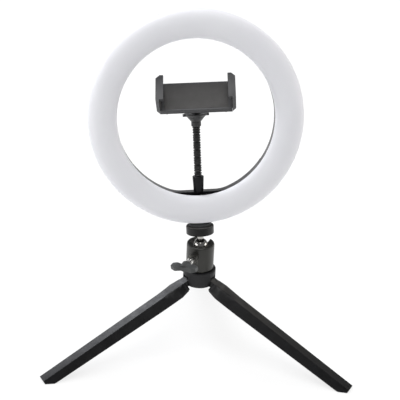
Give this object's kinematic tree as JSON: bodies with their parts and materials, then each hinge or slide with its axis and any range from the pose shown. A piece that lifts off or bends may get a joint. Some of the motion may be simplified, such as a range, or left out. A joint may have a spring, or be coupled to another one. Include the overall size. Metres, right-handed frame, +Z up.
{
  "type": "ring light",
  "caption": "LED ring light tilted on a mini ball head over a folding table tripod, with a spring phone clip on a short gooseneck in the middle of the ring.",
  "frame": {"origin": "middle of the whole object's box, on the surface it stands on", "axes": "+Z up; the ring faces -Y and leans back; +X is to the right as seen from the front"},
  "size_m": [0.2922, 0.2614, 0.3235],
  "materials": {
    "hub_plastic": "satin moulded",
    "leg_plastic": "satin moulded",
    "foot_rubber": "matte",
    "anodised": "black anodised, satin",
    "steel": "turned",
    "chrome": "polished",
    "nickel": "bright nickel plate",
    "seat_plastic": "slick",
    "knob_plastic": "fine grained",
    "platform_black": "black anodised",
    "pad_rubber": "matte",
    "opal": "opal, satin",
    "cover_plastic": "satin",
    "board_white": "solder mask",
    "led_cool": "phosphor",
    "led_warm": "phosphor",
    "board_black": "moulded",
    "brass": "knurled",
    "hose_black": "satin",
    "clip_plastic": "satin moulded",
    "spring_steel": "wire"
  },
  "bodies": {
    "stand": {"hub": "hub_plastic", "hub_plug": "hub_plastic", "head_stud": "steel", "hinge_pins": "steel", "ball_housing": "anodised", "pressure_pad": "seat_plastic"},
    "leg_back": {"leg_back": "leg_plastic", "foot_back": "foot_rubber"},
    "leg_left": {"leg_left": "leg_plastic", "foot_left": "foot_rubber"},
    "leg_right": {"leg_right": "leg_plastic", "foot_right": "foot_rubber"},
    "clamp": {"clamp_screw": "steel", "knob_collar": "nickel", "wing_knob": "knob_plastic"},
    "ball_seat": {"ball_seat": "seat_plastic"},
    "ball": {"head_ball": "chrome"},
    "stem": {"ball_stem": "chrome", "platform": "platform_black", "platform_pad": "pad_rubber", "camera_stud": "steel"},
    "lock_wheel": {"lock_wheel": "knob_plastic"},
    "light": {"diffuser": "opal", "rear_cover": "cover_plastic", "led_board": "board_white", "leds_cool": "led_cool", "leds_warm": "led_warm", "board_parts": "board_black", "cover_screws": "steel", "base_insert": "brass", "lead_gland": "cover_plastic", "hose_base": "cover_plastic", "hose_link_0": "hose_black"},
    "hose_1": {"hose_link_1": "hose_black"},
    "hose_2": {"hose_link_2": "hose_black"},
    "hose_3": {"hose_link_3": "hose_black"},
    "hose_4": {"hose_link_4": "hose_black"},
    "hose_5": {"hose_link_5": "hose_black"},
    "hose_6": {"hose_link_6": "hose_black", "clip_socket": "clip_plastic"},
    "clip_nut": {"clip_nut": "clip_plastic"},
    "clip_seat": {"clip_seat": "seat_plastic"},
    "clip_ball": {"clip_ball": "clip_plastic"},
    "clip": {"clip_frame": "clip_plastic", "clip_cover": "clip_plastic", "clip_pad": "pad_rubber", "fixed_jaw_pad": "pad_rubber", "clip_springs": "spring_steel", "clip_screws": "steel"},
    "clip_jaw": {"slide_jaw": "clip_plastic", "slide_jaw_pad": "pad_rubber"}
  },
  "joints": [
    {"name": "leg_back_fold", "type": "hinge", "parent": "stand", "child": "leg_back", "pos_m": [0.00452, -0.02491, 0.068], "axis": [-0.9987, 0.0516, 0], "range_deg": [0, 65.8]},
    {"name": "leg_left_fold", "type": "hinge", "parent": "stand", "child": "leg_left", "pos_m": [-0.00537, -0.04017, 0.068], "axis": [0.4546, -0.8907, 0], "range_deg": [0, 65.8]},
    {"name": "leg_right_fold", "type": "hinge", "parent": "stand", "child": "leg_right", "pos_m": [0.01279, -0.04111, 0.068], "axis": [0.5441, 0.8391, 0], "range_deg": [0, 65.8]},
    {"name": "clamp_turn", "type": "hinge", "parent": "stand", "child": "clamp", "pos_m": [-0.01087, -0.06374, 0.0974], "axis": [-0.4642, -0.8857, 0], "range_deg": [0, 270]},
    {"name": "ball_swivel", "type": "hinge", "parent": "stand", "child": "ball_seat", "pos_m": [0.00398, -0.0354, 0.1036], "axis": [0, 0, 1], "continuous": true},
    {"name": "ball_tilt", "type": "hinge", "parent": "ball_seat", "child": "ball", "pos_m": [0.00398, -0.0354, 0.1036], "axis": [1, 0, 0], "range_deg": [-17.04, 42.96]},
    {"name": "ball_lean", "type": "hinge", "parent": "ball", "child": "stem", "pos_m": [0.00398, -0.0354, 0.1036], "axis": [0, 0.9745, -0.2243], "range_deg": [-26.42, 33.58]},
    {"name": "lock_wheel_turn", "type": "hinge", "parent": "stem", "child": "lock_wheel", "pos_m": [0.00264, -0.0306, 0.12446], "axis": [-0.0624, 0.2238, 0.9726], "continuous": true},
    {"name": "light_turn", "type": "hinge", "parent": "stem", "child": "light", "pos_m": [0.00255, -0.03026, 0.12592], "axis": [-0.0624, 0.2238, 0.9726], "range_deg": [-90, 90]},
    {"name": "hose_bend_1", "type": "hinge", "parent": "light", "child": "hose_1", "pos_m": [-0.00051, -0.0193, 0.17355], "axis": [0.998, 0.014, 0.0609], "range_deg": [-18, 18]},
    {"name": "hose_bend_2", "type": "hinge", "parent": "hose_1", "child": "hose_2", "pos_m": [-0.00096, -0.01768, 0.18059], "axis": [0, 0.9745, -0.2243], "range_deg": [-5, 5]},
    {"name": "hose_bend_3", "type": "hinge", "parent": "hose_2", "child": "hose_3", "pos_m": [-0.00142, -0.01606, 0.18763], "axis": [0.998, 0.014, 0.0609], "range_deg": [-18, 18]},
    {"name": "hose_bend_4", "type": "hinge", "parent": "hose_3", "child": "hose_4", "pos_m": [-0.00187, -0.01444, 0.19468], "axis": [0, 0.9745, -0.2243], "range_deg": [-5, 5]},
    {"name": "hose_bend_5", "type": "hinge", "parent": "hose_4", "child": "hose_5", "pos_m": [-0.00232, -0.01282, 0.20172], "axis": [0.998, 0.014, 0.0609], "range_deg": [-18, 18]},
    {"name": "hose_bend_6", "type": "hinge", "parent": "hose_5", "child": "hose_6", "pos_m": [-0.00277, -0.0112, 0.20876], "axis": [0, 0.9745, -0.2243], "range_deg": [-5, 5]},
    {"name": "clip_nut_turn", "type": "hinge", "parent": "hose_6", "child": "clip_nut", "pos_m": [-0.00397, -0.00691, 0.22742], "axis": [-0.0624, 0.2238, 0.9726], "range_deg": [0, 180]},
    {"name": "clip_swivel", "type": "hinge", "parent": "hose_6", "child": "clip_seat", "pos_m": [-0.00389, -0.00717, 0.22625], "axis": [-0.0624, 0.2238, 0.9726], "continuous": true},
    {"name": "clip_tilt", "type": "hinge", "parent": "clip_seat", "child": "clip_ball", "pos_m": [-0.00389, -0.00717, 0.22625], "axis": [0.9939, -0.0744, 0.0809], "range_deg": [-90, 4]},
    {"name": "clip_spin", "type": "hinge", "parent": "clip_ball", "child": "clip", "pos_m": [-0.00389, -0.00717, 0.22625], "axis": [-0.1083, -0.5362, 0.8371], "continuous": true},
    {"name": "jaw_slide", "type": "slide", "parent": "clip", "child": "clip_jaw", "axis": [0.9941, -0.0663, 0.0861], "range_m": [0, 0.022], "stiffness_N_per_m": 120, "springref_m": -0.012}
  ]
}
